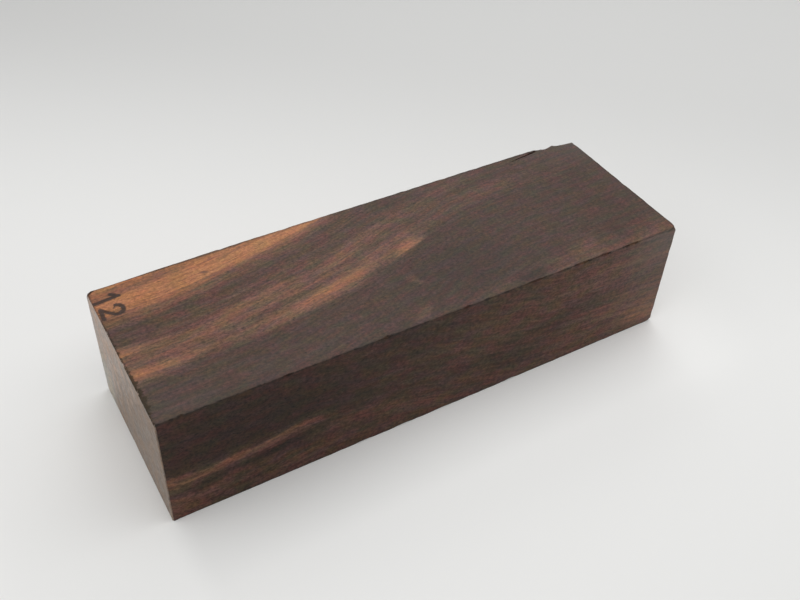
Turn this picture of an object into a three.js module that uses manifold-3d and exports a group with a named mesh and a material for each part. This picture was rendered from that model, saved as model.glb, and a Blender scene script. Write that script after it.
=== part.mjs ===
// A squared block of dark ironwood, sawn and sanded, lying on its wide side.
// Millimetres, +Z up. The origin is the middle of the underside and X runs along the grain.
// One solid: the block is cut from a plain box by its ragged edges, worn corners, chips,
// a torn-out chunk at the right end of the back edge and the crack that runs on from it.
import * as THREE from "three";
import { ConvexGeometry } from "three/addons/geometries/ConvexGeometry.js";
import { mergeVertices } from "three/addons/utils/BufferGeometryUtils.js";
import Module from "manifold-3d";

const wasm = await Module();
wasm.setup();

// Driving dimensions
const LENGTH = 130;
const WIDTH = 42.5;
const HEIGHT = 30.6;

// Half sizes and the level of the top face
const END = LENGTH / 2;
const SIDE = WIDTH / 2;
const TOP = HEIGHT;

// The arris: the narrow broken edge that sanding and handling leave
const ARRIS = 0.07;
const ARRIS_SPREAD = 0.02;
const ARRIS_STEP = 2.4;
const CUTTER_REACH = 0.6;
const CUTTER_BULK = 1.6;
const CUTTER_OVERRUN = 1.2;
const ARRIS_SEED = 41;
const FEWEST_STEPS = 2;

// How much more than that the back edge of the top face is rubbed down near the left end,
// by distance from the left end
const BACK_TOP_RUBBED = [
  [0, 0.56],
  [5.8, 0.5],
  [9.7, 0.38],
  [12.2, 0.3],
  [16.1, 0.2],
  [22.5, 0.14],
  [24, 0.06],
  [31, 0],
];

// How far each corner is worn back along X, Y and Z, one row for each facet.
// A corner is named by its signs along X and Y and by its level.
const CORNER_WEAR = [
  { x: -1, y: 1, level: TOP, facets: [[2.0, 1.3, 1.6]] },
  { x: 1, y: 1, level: TOP, facets: [[0.3, 0.8, 0.4]] },
  { x: 1, y: -1, level: TOP, facets: [[0.9, 1.2, 0.9], [1.5, 0.6, 0.6]] },
  { x: 1, y: -1, level: 0, facets: [[1.1, 0.6, 0.8]] },
  { x: -1, y: -1, level: TOP, facets: [[0.5, 1.2, 0.6]] },
  { x: -1, y: -1, level: 0, facets: [[0.34, 0.34, 0.38]] },
  { x: 1, y: 1, level: 0, facets: [[0.9, 0.7, 1.1]] },
  { x: -1, y: 1, level: 0, facets: [[0.8, 0.6, 0.6]] },
];
const CORNER_OVERSIZE = 3;
const CORNER_BULK = 4;

// The torn-out chunk: its depth into the back face, by distance from the left end,
// and how that depth dies away down the face
const TEAR_OUTLINE = [
  [118.3, -0.1],
  [118.75, 0.3],
  [119.05, 0.62],
  [119.6, 0.68],
  [120.3, 0.64],
  [120.8, 0.88],
  [121.3, 1.12],
  [122.0, 1.0],
  [122.8, 0.88],
  [123.5, 0.68],
  [124.15, 0.6],
  [124.55, 1.0],
  [125.0, 1.3],
  [126.3, 1.38],
  [127.5, 1.54],
  [128.8, 1.64],
  [131.2, 1.95],
];
const TEAR_DROPS = [-0.8, 0, 0.9, 2.2, 4.0, 6.2, 8.4];
const TEAR_SHARES = [1.02, 1, 0.94, 0.72, 0.45, 0.18, -0.25];
const TEAR_ROUGHNESS = 0.16;
const TEAR_REACH = { least: 0.75, spread: 0.5 };
const TEAR_SEED = 7;

// The crack behind the splinter: points on the top face as distances from the left end
// and from the back edge, with the crack's width and depth there
const CRACK_PATH = [
  { along: 109.6, across: 1.9, wide: 0.04, deep: 0.05 },
  { along: 110.8, across: 1.68, wide: 0.22, deep: 0.45 },
  { along: 112.4, across: 1.46, wide: 0.28, deep: 0.8 },
  { along: 114.9, across: 1.22, wide: 0.34, deep: 1.1 },
  { along: 116.9, across: 0.98, wide: 0.42, deep: 1.3 },
  { along: 118.4, across: 0.74, wide: 0.5, deep: 1.4 },
  { along: 119.6, across: 0.5, wide: 0.56, deep: 1.5 },
];
const CRACK_RISE = 0.4;

// Chips along the edges: their middle from the left end, length, and depth into the
// horizontal and the upright face
const FRONT_TOP_CHIPS = [
  [5.2, 1.7, 0.5, 0.45],
  [27.5, 2.2, 0.3, 0.42],
  [50.4, 2.0, 0.62, 0.55],
  [70.1, 1.6, 0.5, 0.5],
  [88.6, 5.4, 0.34, 0.5],
  [101.5, 4.6, 0.36, 0.62],
  [108.2, 3.4, 0.42, 0.75],
  [116.4, 5.0, 0.34, 0.6],
];
const FRONT_BOTTOM_CHIPS = [
  [45.3, 4.6, 0.36, 0.4],
  [55.5, 5.4, 0.34, 0.38],
  [66.2, 6.0, 0.26, 0.28],
  [85.6, 3.4, 0.42, 0.5],
];
const BACK_TOP_CHIPS = [
  [5.9, 2.4, 0.66, 0.7],
  [30.8, 1.6, 0.3, 0.34],
  [80.0, 3.0, 0.2, 0.24],
];
const BACK_BOTTOM_CHIPS = [
  [22.5, 3.8, 0.5, 0.6],
  [61.2, 2.6, 0.4, 0.45],
  [97.0, 4.4, 0.6, 0.5],
];

// Chips along the edges of the sawn ends: which end, distance from the back face, length
const END_TOP_CHIPS = [
  { end: -1, across: 14.6, long: 2.0, deep: 0.36 },
  { end: -1, across: 24.2, long: 3.0, deep: 0.42 },
  { end: -1, across: 33.1, long: 2.2, deep: 0.4 },
];
const END_BOTTOM_CHIPS = [
  { end: -1, across: 19.5, long: 3.0, deep: 0.5 },
  { end: 1, across: 9.8, long: 2.6, deep: 0.45 },
];
const CHIP_TURN = 0.35;
const CHIP_DETAIL = 1;

// Points nearer to each other than this are one point
const WELD = 1e-4;

// The steps of the source of repeatable numbers
const RANDOM_FACTOR = 1664525;
const RANDOM_STEP = 1013904223;
const RANDOM_RANGE = 2 ** 32;

// Colour and finish of the wood
const WOOD_COLOUR = 0x3d2a22;
const WOOD_ROUGHNESS = 0.46;

// A repeatable source of numbers from 0 to 1.
function seededRandom(seed) {
  let state = seed;
  return () => {
    state = (state * RANDOM_FACTOR + RANDOM_STEP) % RANDOM_RANGE;
    return state / RANDOM_RANGE;
  };
}

// A point given by distances from the left end, from the back face and from the top.
function pointOf(along, across, below) {
  return new THREE.Vector3(along - END, SIDE - across, TOP - below);
}

// Turns a closed geometry into a solid that can be cut.
function solidOf(geometry) {
  geometry.deleteAttribute("normal");
  geometry.deleteAttribute("uv");
  const merged = mergeVertices(geometry, WELD);
  const vertProperties = new Float32Array(merged.attributes.position.array);
  const triVerts = new Uint32Array(merged.index.array);
  return new wasm.Manifold(new wasm.Mesh({ numProp: 3, vertProperties, triVerts }));
}

// Turns a solid back into a geometry with flat faces.
function geometryOf(solid) {
  const mesh = solid.getMesh();
  const indexed = new THREE.BufferGeometry();
  indexed.setAttribute("position", new THREE.BufferAttribute(mesh.vertProperties, 3));
  indexed.setIndex(new THREE.BufferAttribute(mesh.triVerts, 1));
  const flat = indexed.toNonIndexed();
  flat.computeVertexNormals();
  return flat;
}

// Six times the volume inside a list of triangles, negative where they face inwards.
function signedVolume(points, triangles) {
  const cross = new THREE.Vector3();
  let sum = 0;
  for (const [a, b, c] of triangles) {
    cross.crossVectors(points[b], points[c]);
    sum += points[a].dot(cross);
  }
  return sum;
}

// A closed body through a row of outlines with the same number of points. Each outline
// is seen whole from its first point, so a fan closes the two ends.
function loft(outlines) {
  const count = outlines[0].length;
  const points = outlines.flat();
  const triangles = [];
  for (let row = 0; row + 1 < outlines.length; row += 1) {
    for (let i = 0; i < count; i += 1) {
      const next = (i + 1) % count;
      const here = row * count;
      const there = here + count;
      triangles.push([here + i, there + i, there + next]);
      triangles.push([here + i, there + next, here + next]);
    }
  }
  const last = (outlines.length - 1) * count;
  for (let i = 1; i + 1 < count; i += 1) {
    triangles.push([0, i, i + 1]);
    triangles.push([last, last + i + 1, last + i]);
  }
  const inwards = signedVolume(points, triangles) < 0;
  const order = inwards ? triangles.map(([a, b, c]) => [a, c, b]) : triangles;
  const geometry = new THREE.BufferGeometry().setFromPoints(points);
  geometry.setIndex(order.flat());
  return solidOf(geometry);
}

// How much more than usual the back edge of the top face is rubbed down at a distance
// from the left end.
function rubbedAt(along) {
  const next = BACK_TOP_RUBBED.findIndex(([place]) => place > along);
  if (next < 0) {
    return 0;
  }
  if (next === 0) {
    return BACK_TOP_RUBBED[0][1];
  }
  const [placeA, widthA] = BACK_TOP_RUBBED[next - 1];
  const [placeB, widthB] = BACK_TOP_RUBBED[next];
  return THREE.MathUtils.mapLinear(along, placeA, placeB, widthA, widthB);
}

// The cutter for one edge: a rail with a three-sided section, whose width wanders so
// that the arris is ragged. The normals are those of the two faces that meet there, and
// the last value gives how much more is rubbed off at a point of the edge.
function arrisCutter(start, finish, normalA, normalB, random, extraAt = () => 0) {
  const run = finish.clone().sub(start);
  const steps = Math.max(FEWEST_STEPS, Math.round(run.length() / ARRIS_STEP));
  const overrun = run.clone().setLength(CUTTER_OVERRUN);
  const from = start.clone().sub(overrun);
  const to = finish.clone().add(overrun);
  const outlines = [];
  for (let i = 0; i <= steps; i += 1) {
    const edge = from.clone().lerp(to, i / steps);
    const extra = extraAt(edge);
    const widthA = ARRIS + extra + ARRIS_SPREAD * (2 * random() - 1);
    const widthB = ARRIS + extra + ARRIS_SPREAD * (2 * random() - 1);
    const onA = edge.clone().addScaledVector(normalB, -widthA);
    const onB = edge.clone().addScaledVector(normalA, -widthB);
    const slope = onB.clone().sub(onA).setLength(CUTTER_REACH);
    const outer = edge.clone().addScaledVector(normalA, CUTTER_BULK).addScaledVector(normalB, CUTTER_BULK);
    outlines.push([outer, onA.sub(slope), onB.add(slope)]);
  }
  return loft(outlines);
}

// The cutters for all twelve edges.
function arrisCutters() {
  const random = seededRandom(ARRIS_SEED);
  const cutters = [];
  const left = new THREE.Vector3(-1, 0, 0);
  const front = new THREE.Vector3(0, -1, 0);
  const down = new THREE.Vector3(0, 0, -1);
  const corner = (x, y, level) => new THREE.Vector3(x * END, y * SIDE, level);
  for (const level of [0, TOP]) {
    const flat = down.clone().multiplyScalar(level === 0 ? 1 : -1);
    for (const side of [-1, 1]) {
      const faceY = front.clone().multiplyScalar(-side);
      const rubbed = level === TOP && side === 1 ? (edge) => rubbedAt(edge.x + END) : undefined;
      cutters.push(arrisCutter(corner(-1, side, level), corner(1, side, level), flat, faceY, random, rubbed));
      const faceX = left.clone().multiplyScalar(-side);
      cutters.push(arrisCutter(corner(side, -1, level), corner(side, 1, level), flat, faceX, random));
    }
  }
  for (const end of [-1, 1]) {
    for (const side of [-1, 1]) {
      const faceX = left.clone().multiplyScalar(-end);
      const faceY = front.clone().multiplyScalar(-side);
      cutters.push(arrisCutter(corner(end, side, 0), corner(end, side, TOP), faceX, faceY, random));
    }
  }
  return cutters;
}

// Cuts a corner off along the plane that crosses its three edges at the given distances.
function cornerCutter(corner, inward, distances) {
  const tips = [
    corner.clone().add(new THREE.Vector3(inward.x * distances[0], 0, 0)),
    corner.clone().add(new THREE.Vector3(0, inward.y * distances[1], 0)),
    corner.clone().add(new THREE.Vector3(0, 0, inward.z * distances[2])),
  ];
  const middle = tips[0].clone().add(tips[1]).add(tips[2]).divideScalar(3);
  const spread = tips.map((tip) => tip.clone().sub(middle).multiplyScalar(CORNER_OVERSIZE).add(middle));
  const outside = corner.clone().addScaledVector(inward, -CORNER_BULK);
  return solidOf(new ConvexGeometry([...spread, outside]));
}

// The cutters for every worn corner.
function cornerCutters() {
  return CORNER_WEAR.flatMap(({ x, y, level, facets }) => {
    const corner = new THREE.Vector3(x * END, y * SIDE, level);
    const inward = new THREE.Vector3(-x, -y, level === 0 ? 1 : -1);
    return facets.map((distances) => cornerCutter(corner, inward, distances));
  });
}

// The cutter for the chunk torn out of the back edge, one outline for each step along it.
function tearCutter() {
  const random = seededRandom(TEAR_SEED);
  const outlines = TEAR_OUTLINE.map(([along, depth]) => {
    const reach = TEAR_REACH.least + TEAR_REACH.spread * random();
    const inner = TEAR_DROPS.map((drop, row) => {
      const rough = row > 1 ? TEAR_ROUGHNESS * (2 * random() - 1) : 0;
      const across = depth > 0 ? depth * TEAR_SHARES[row] + rough * depth : depth;
      return pointOf(along, across, drop > 0 ? drop * reach : drop);
    });
    const outer = pointOf(along, -CUTTER_BULK, TEAR_DROPS[0]);
    return [outer, ...inner];
  });
  return loft(outlines);
}

// The cutter for the crack, a narrow V that deepens towards the torn-out chunk.
function crackCutter() {
  const outlines = CRACK_PATH.map(({ along, across, wide, deep }) => [
    pointOf(along, across - wide / 2, -CRACK_RISE),
    pointOf(along, across + wide / 2, -CRACK_RISE),
    pointOf(along, across, deep),
  ]);
  return loft(outlines);
}

// A chip: a stretched many-sided bead with its middle on the edge, turned about the grain.
function chipCutter(middle, halfSize, turn) {
  const bead = new THREE.OctahedronGeometry(1, CHIP_DETAIL);
  bead.scale(halfSize.x, halfSize.y, halfSize.z);
  bead.rotateX(turn);
  bead.translate(middle.x, middle.y, middle.z);
  return solidOf(bead);
}

// The chips of one long edge.
function longEdgeChips(rows, side, level) {
  return rows.map(([along, long, deepFlat, deepUpright], index) => {
    const middle = new THREE.Vector3(along - END, side * SIDE, level);
    const halfSize = new THREE.Vector3(long / 2, deepFlat, deepUpright);
    return chipCutter(middle, halfSize, index % 2 === 0 ? CHIP_TURN : -CHIP_TURN);
  });
}

// The chips of the edges of the two sawn ends.
function endEdgeChips(rows, level) {
  return rows.map(({ end, across, long, deep }) => {
    const middle = new THREE.Vector3(end * END, SIDE - across, level);
    return chipCutter(middle, new THREE.Vector3(deep, long / 2, deep), 0);
  });
}

// The whole block as one solid.
function ironwoodBlock() {
  const box = new THREE.BoxGeometry(LENGTH, WIDTH, HEIGHT);
  box.translate(0, 0, HEIGHT / 2);
  const cutters = [
    ...arrisCutters(),
    ...cornerCutters(),
    tearCutter(),
    crackCutter(),
    ...longEdgeChips(FRONT_TOP_CHIPS, -1, TOP),
    ...longEdgeChips(FRONT_BOTTOM_CHIPS, -1, 0),
    ...longEdgeChips(BACK_TOP_CHIPS, 1, TOP),
    ...longEdgeChips(BACK_BOTTOM_CHIPS, 1, 0),
    ...endEdgeChips(END_TOP_CHIPS, TOP),
    ...endEdgeChips(END_BOTTOM_CHIPS, 0),
  ];
  return cutters.reduce((block, cutter) => block.subtract(cutter), solidOf(box));
}

const wood = new THREE.MeshStandardMaterial({
  name: "ironwood",
  color: WOOD_COLOUR,
  roughness: WOOD_ROUGHNESS,
  metalness: 0,
});

const block = new THREE.Mesh(geometryOf(ironwoodBlock()), wood);
block.name = "ironwood_block";

const part = new THREE.Group();
part.name = "ironwood_block_part";
part.add(block);

export default part;
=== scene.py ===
"""Dresses a squared block of dark ironwood and sets it on a pale floor under soft light.

The block is one piece of wood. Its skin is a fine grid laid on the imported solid, with small
chips added along the arrises, and its finish is solid wood: growth layers that run through
the whole block, so that every face shows the cut it would show on the real one.
"""
import functools
import logging
import math
from dataclasses import dataclass, field
from enum import Enum
from typing import Iterable, Optional, Sequence, Union

import bpy
import numpy as np
from mathutils import Matrix, Vector
from mathutils.bvhtree import BVHTree


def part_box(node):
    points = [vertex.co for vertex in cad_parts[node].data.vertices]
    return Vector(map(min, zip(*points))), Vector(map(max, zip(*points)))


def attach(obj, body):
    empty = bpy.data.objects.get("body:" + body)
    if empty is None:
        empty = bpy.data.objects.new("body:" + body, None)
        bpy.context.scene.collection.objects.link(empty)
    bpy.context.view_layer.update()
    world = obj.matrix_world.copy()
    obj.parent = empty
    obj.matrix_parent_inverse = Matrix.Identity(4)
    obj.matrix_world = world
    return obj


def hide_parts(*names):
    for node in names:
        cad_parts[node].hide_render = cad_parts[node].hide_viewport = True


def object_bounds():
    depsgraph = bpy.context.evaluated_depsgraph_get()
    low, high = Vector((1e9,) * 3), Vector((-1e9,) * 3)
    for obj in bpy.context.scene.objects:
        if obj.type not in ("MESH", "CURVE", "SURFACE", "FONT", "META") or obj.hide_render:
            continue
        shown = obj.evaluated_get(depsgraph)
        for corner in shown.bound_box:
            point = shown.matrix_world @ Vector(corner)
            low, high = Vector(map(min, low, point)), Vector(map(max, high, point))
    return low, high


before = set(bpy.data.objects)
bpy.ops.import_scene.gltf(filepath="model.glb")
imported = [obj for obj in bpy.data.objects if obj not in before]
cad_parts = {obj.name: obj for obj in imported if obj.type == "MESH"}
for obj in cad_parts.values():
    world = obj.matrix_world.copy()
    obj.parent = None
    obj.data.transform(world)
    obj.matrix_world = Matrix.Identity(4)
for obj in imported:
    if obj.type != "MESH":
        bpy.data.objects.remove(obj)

CAD_LOW, CAD_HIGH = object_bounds()

MM = 0.001
NODE = "ironwood_block"
BODY = "root"
UV_NAME = "OFBake"
TORN = "torn"
# the name under which the mesh holds the painted shade in the crack
SPLIT = "crack_shade"
# A rise between these two is full from the block's first millimetre on, and so all over it.
EVERYWHERE = (-2.0, -1.0)

log = logging.getLogger("ironwood")

Pair = tuple[float, float]
Triple = tuple[float, float, float]
Key = Union[int, str]
Value = Union[int, float, bool, str, Sequence[float], "Term", bpy.types.ID]
Settings = Optional[dict[str, object]]
Values = Optional[dict[Key, Value]]


class Term:
    """A node's output socket, with arithmetic that adds Math nodes."""

    def __init__(self, board: "Board", socket: bpy.types.NodeSocket) -> None:
        """Keeps the socket and the board it is on."""
        self.board = board
        self.socket = socket

    def __add__(self, other: Value) -> "Term":
        """Adds a number or a term."""
        return self.board.math("ADD", self, other)

    def __radd__(self, other: Value) -> "Term":
        """Is added to a number."""
        return self.board.math("ADD", other, self)

    def __sub__(self, other: Value) -> "Term":
        """Takes away a number or a term."""
        return self.board.math("SUBTRACT", self, other)

    def __rsub__(self, other: Value) -> "Term":
        """Is taken away from a number."""
        return self.board.math("SUBTRACT", other, self)

    def __mul__(self, other: Value) -> "Term":
        """Multiplies by a number or a term."""
        return self.board.math("MULTIPLY", self, other)

    def __rmul__(self, other: Value) -> "Term":
        """Is multiplied by a number."""
        return self.board.math("MULTIPLY", other, self)

    def __truediv__(self, other: Value) -> "Term":
        """Divides by a number or a term."""
        return self.board.math("DIVIDE", self, other)

    def __neg__(self) -> "Term":
        """Turns the sign."""
        return self.board.math("MULTIPLY", self, -1.0)

    def __abs__(self) -> "Term":
        """Drops the sign."""
        return self.board.math("ABSOLUTE", self)


class Grain(Enum):
    """What is uneven in the wood and in the sealer, as noise.

    Each kind has its lumps to a mm, or to a metre for the last two, along, across and below.
    Then come how many finer layers it has, how strong they are, and how far it is moved along,
    in lumps. Lines, strands and RED_STREAK are read across the growth layers.
    """

    WANDER = ((1 / 17, 1 / 6, 1 / 6), 2.0, 0.5, 0.0)
    WIGGLE = ((1 / 5, 1 / 2.2, 1 / 2.2), 2.0, 0.5, 0.0)
    FINE_LINE = ((1 / 21, 1.35, 0.2), 3.0, 0.6, 0.0)
    HAIR_LINE = ((1 / 3.2, 3.6, 1.0), 2.0, 0.6, 0.0)
    STRAND = ((1 / 3.6, 1.05, 1 / 3), 1.5, 0.6, 17.0)
    SPECK = ((1 / 0.8, 1.9, 1.9), 2.0, 0.7, 0.0)
    PORE = ((1 / 1.3, 3.2, 3.2), 1.0, 0.4, 0.0)
    MOTTLE = ((0.25, 0.48, 0.48), 3.0, 0.7, 0.0)
    FIGURE = ((1.0, 1.0, 1.0), 2.0, 0.7, 0.0)
    PLUM_PATCH = ((1 / 4.2, 1 / 2.7, 1 / 2.7), 1.0, 0.5, 31.0)
    RED_STREAK = ((1 / 7, 1 / 1.5, 1 / 4), 1.0, 0.5, 57.0)
    UNEVEN = ((1.2, 2.4, 1.0), 2.0, 0.5, 0.0)
    TORN_WOOD = ((0.8, 4.0, 4.0), 3.0, 0.7, 0.0)
    RAGGED = ((1 / 1.6, 1 / 0.9, 1 / 0.9), 3.0, 0.6, 0.0)
    NIBBLE_SHADE = ((1 / 1.5, 1.0, 0.5), 3.0, 0.7, 0.0)
    BITTEN = ((1 / 3, 1 / 1.3, 1 / 3), 3.0, 0.75, 0.0)
    COAT_PATCH = ((0.3, 0.26, 0.2), 4.0, 0.75, 0.0)
    COAT_BLOTCH = ((0.5, 0.3, 0.2), 3.0, 0.7, 0.0)
    COAT_SPECK = ((1.0, 1.0, 1.0), 4.0, 0.9, 0.0)
    COAT_EDGE = ((1.0, 1.0, 1.0), 2.0, 0.5, 0.0)
    WORN_ARRIS = ((420.0, 1100.0, 1100.0), 3.0, 0.6, 0.0)
    TORN_FIBRES = ((260.0, 900.0, 900.0), 3.0, 0.6, 0.0)


class Board:
    """A node tree that is built by calls, one node each."""

    def __init__(self, tree: bpy.types.NodeTree) -> None:
        """Clears the tree and keeps it."""
        self.tree = tree
        tree.nodes.clear()

    def node(self, kind: str, settings: Settings = None, values: Values = None) -> bpy.types.Node:
        """Adds a node.

        Args:
            kind: the node's type.
            settings: its properties, which are set first. "stops" are a ramp's stops and
                "points" are a curve's points.
            values: numbers, colours or terms for its sockets, by name or place.

        Returns:
            The new node.
        """
        node = self.tree.nodes.new(kind)
        for name, setting in (settings or {}).items():
            if name == "stops":
                self._set_stops(node.color_ramp, setting)
            elif name == "points":
                self._set_points(node.mapping, setting)
            else:
                setattr(node, name, setting)
        for key, value in (values or {}).items():
            socket = node.inputs[key]
            if isinstance(value, Term):
                self.tree.links.new(value.socket, socket)
            else:
                socket.default_value = value
        return node

    def term(self, kind: str, settings: Settings = None, values: Values = None, output: Key = 0) -> Term:
        """Adds a node and returns one of its outputs, by name or place."""
        return Term(self, self.node(kind, settings, values).outputs[output])

    @staticmethod
    def _set_stops(ramp: bpy.types.ColorRamp, stops: Iterable[tuple[float, Triple]]) -> None:
        """Puts the given places and colours on a ramp.

        Args:
            ramp: the ramp, with its two first stops.
            stops: each stop's place and colour.
        """
        for index, (place, colour) in enumerate(stops):
            stop = ramp.elements[index] if index < 2 else ramp.elements.new(place)
            stop.position = place
            stop.color = (*colour, 1.0)

    @staticmethod
    def _set_points(mapping: bpy.types.CurveMapping, points: Iterable[Pair]) -> None:
        """Puts the given points on a curve.

        Args:
            mapping: the node's curve, with its two first points.
            points: the places and heights, each from 0 to 1.
        """
        curve = mapping.curves[0]
        for index, (place, height) in enumerate(points):
            if index < 2:
                curve.points[index].location = (place, height)
            else:
                curve.points.new(place, height)
        mapping.update()

    def math(self, operation: str, first: Value, second: Value = 0.0) -> Term:
        """Adds a Math node."""
        return self.term("ShaderNodeMath", {"operation": operation}, {0: first, 1: second})

    def vectors(self, operation: str, *values: Value) -> Term:
        """Adds a Vector Math node."""
        return self.term("ShaderNodeVectorMath", {"operation": operation}, dict(enumerate(values)))

    def vector(self, x: Value, y: Value, z: Value) -> Term:
        """Joins three numbers into a vector."""
        return self.term("ShaderNodeCombineXYZ", None, {0: x, 1: y, 2: z})

    def length(self, vector: Value) -> Term:
        """Returns a vector's length."""
        return self.term("ShaderNodeVectorMath", {"operation": "LENGTH"}, {0: vector}, "Value")

    def scaled(self, vector: Value, amount: Value) -> Term:
        """Multiplies a vector or a colour by a number."""
        return self.term("ShaderNodeVectorMath", {"operation": "SCALE"}, {0: vector, "Scale": amount})

    def turned(self, place: Term, turn: Triple, scale: Triple) -> Term:
        """Scales a place and then turns it, in radians."""
        values = {"Vector": place, "Rotation": turn, "Scale": scale}
        return self.term("ShaderNodeMapping", {"vector_type": "POINT"}, values)

    def least(self, *values: Value) -> Term:
        """Returns the least of several values."""
        return functools.reduce(functools.partial(self.math, "MINIMUM"), values)

    def most(self, *values: Value) -> Term:
        """Returns the greatest of several values."""
        return functools.reduce(functools.partial(self.math, "MAXIMUM"), values)

    def rise(self, value: Value, low: Value, high: Value) -> Term:
        """Returns a smooth step, 0 at low and 1 at high. With low above high it falls instead."""
        settings = {"interpolation_type": "SMOOTHSTEP", "clamp": True}
        return self.term("ShaderNodeMapRange", settings, {0: value, 1: low, 2: high, 3: 0.0, 4: 1.0})

    def noise(self, place: Term, grain: Grain) -> Term:
        """Returns noise.

        Args:
            place: where it is read.
            grain: which kind it is.

        Returns:
            A number about 0.5.
        """
        scale, detail, roughness, shift = grain.value
        place = self.vectors("MULTIPLY_ADD", place, scale, (shift, 0.0, 0.0))
        values = {"Vector": place, "Scale": 1.0, "Detail": detail, "Roughness": roughness}
        return self.term("ShaderNodeTexNoise", {"noise_dimensions": "3D"}, values)

    def blend(self, share: Value, first: Value, second: Value) -> Term:
        """Mixes two colours, by how much of the second there is."""
        ends = [colour if isinstance(colour, Term) else (*colour, 1.0) for colour in (first, second)]
        return self.term("ShaderNodeMix", {"data_type": "RGBA"}, {0: share, 6: ends[0], 7: ends[1]}, 2)

    def ramp(self, place: Term, stops: Iterable[tuple[float, Triple]]) -> Term:
        """Reads a colour off a ramp."""
        return self.term("ShaderNodeValToRGB", {"stops": stops}, {0: place})

    def axes(self) -> list[Term]:
        """Returns the object's own x, y and z, in metres."""
        spot = self.term("ShaderNodeTexCoord", None, None, "Object")
        return [Term(self, socket) for socket in self.node("ShaderNodeSeparateXYZ", None, {0: spot}).outputs]

    def marked(self, name: str) -> Term:
        """Reads in a material what the mesh holds under a name."""
        return self.term("ShaderNodeAttribute", {"attribute_name": name}, None, "Fac")

    def store(self, geometry: Term, name: str, value: Term) -> Term:
        """Keeps a number with each point of a geometry."""
        values = {"Geometry": geometry, "Name": name, "Value": value}
        return self.term("GeometryNodeStoreNamedAttribute", {"data_type": "FLOAT", "domain": "POINT"}, values)

    def stored(self, name: str) -> Term:
        """Reads such a number in a geometry's tree."""
        return self.term("GeometryNodeInputNamedAttribute", {"data_type": "FLOAT"}, {"Name": name})


class Finish(Board):
    """The node tree of a new material."""

    def __init__(self, name: str) -> None:
        """Makes the material.

        Args:
            name: its name.
        """
        self.material = bpy.data.materials.new(name)
        self.material.use_nodes = True
        super().__init__(self.material.node_tree)

    def close(self, values: Values) -> bpy.types.Material:
        """Ends the tree with a Principled surface.

        Args:
            values: the surface's colour, roughness and so on, by name.

        Returns:
            The material.
        """
        surface = self.term("ShaderNodeBsdfPrincipled", None, values)
        self.node("ShaderNodeOutputMaterial", None, {"Surface": surface})
        return self.material


def add_object(name: str, data: bpy.types.ID) -> bpy.types.Object:
    """Adds an object to the scene.

    Args:
        name: its name.
        data: its mesh, light or camera.

    Returns:
        The object.
    """
    item = bpy.data.objects.new(name, data)
    bpy.context.scene.collection.objects.link(item)
    return item


def add_mesh(name: str, spots: Sequence[Sequence[float]], faces: Sequence[Sequence[int]]) -> bpy.types.Object:
    """Adds an object with a new mesh to the scene.

    Args:
        name: the name of both.
        spots: its points' places, m.
        faces: its faces, each as the numbers of its points.

    Returns:
        The object.
    """
    mesh = bpy.data.meshes.new(name)
    mesh.from_pydata(spots, [], faces)
    return add_object(name, mesh)


@dataclass(frozen=True)
class BlockSize:
    """The block's sides in millimetres.

    Attributes:
        length: along the grain.
        width: across the top face.
        height: from the underside to the top face.
    """

    length: float
    width: float
    height: float

    @classmethod
    def from_frame(cls) -> "BlockSize":
        """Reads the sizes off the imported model."""
        low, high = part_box(NODE)
        return cls(*((high[axis] - low[axis]) / MM for axis in range(3)))

    def place(self, along: float, across: float, below: float) -> Vector:
        """Turns distances from the left end, the back and the top, mm, into a place in the scene, m."""
        x, y = along - self.length / 2, self.width / 2 - across
        return Vector((x, y, self.height - below)) * MM


@dataclass(frozen=True)
class Spot:
    """A place in the block, as a material's tree reads it.

    Attributes:
        board: the material's tree.
        along: from the left end, mm.
        across: from the back face, mm.
        below: from the top face, mm.
        vector: these three together.
    """

    board: Board
    along: Term
    across: Term
    below: Term
    vector: Term

    @classmethod
    def read(cls, board: Board, size: BlockSize) -> "Spot":
        """Reads the place off the object's own coordinates.

        Args:
            board: the material's tree.
            size: the block's size.

        Returns:
            The place.
        """
        x, y, z = (axis / MM for axis in board.axes())
        along, across, below = x + size.length / 2, size.width / 2 - y, size.height - z
        return cls(board, along, across, below, board.vector(along, across, below))

    def noise(self, grain: Grain) -> Term:
        """Returns one kind of noise there, a number about 0.5."""
        return self.board.noise(self.vector, grain)


class Stain(Enum):
    """The dark marks on the wood, each with its colour and how much of the wood it hides. Some are the wood's
    own wear; the marks in the nibbles, in the crack and along the upper back arris are painted shade, and the
    worn strip is partly painted shade.
    """

    CLIPPED = ((0.026, 0.016, 0.012), 0.85)
    # wear along every arris, and painted contact shade along the bottom arrises
    WORN_AND_SHADE = ((0.026, 0.017, 0.013), 0.5)
    # painted shade in the small nibbles of the upper front arris
    NIBBLE_SHADE = ((0.016, 0.010, 0.008), 0.8)
    # painted shade: the shadow side of the upper back arris
    BACK_ARRIS_SHADE = ((0.045, 0.031, 0.026), 0.65)
    LEFT_RIM = ((0.030, 0.021, 0.010), 0.8)
    TORN = ((0.046, 0.038, 0.030), 0.55)
    # painted shade in the crack behind the splinter
    SPLIT = ((0.010, 0.008, 0.007), 0.9)

    def over(self, colour: Term, mask: Term) -> Term:
        """Lays the mark over the wood's colour where the mask is above 0."""
        tone, share = self.value
        return colour.board.blend(mask * share, colour, tone)


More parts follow.
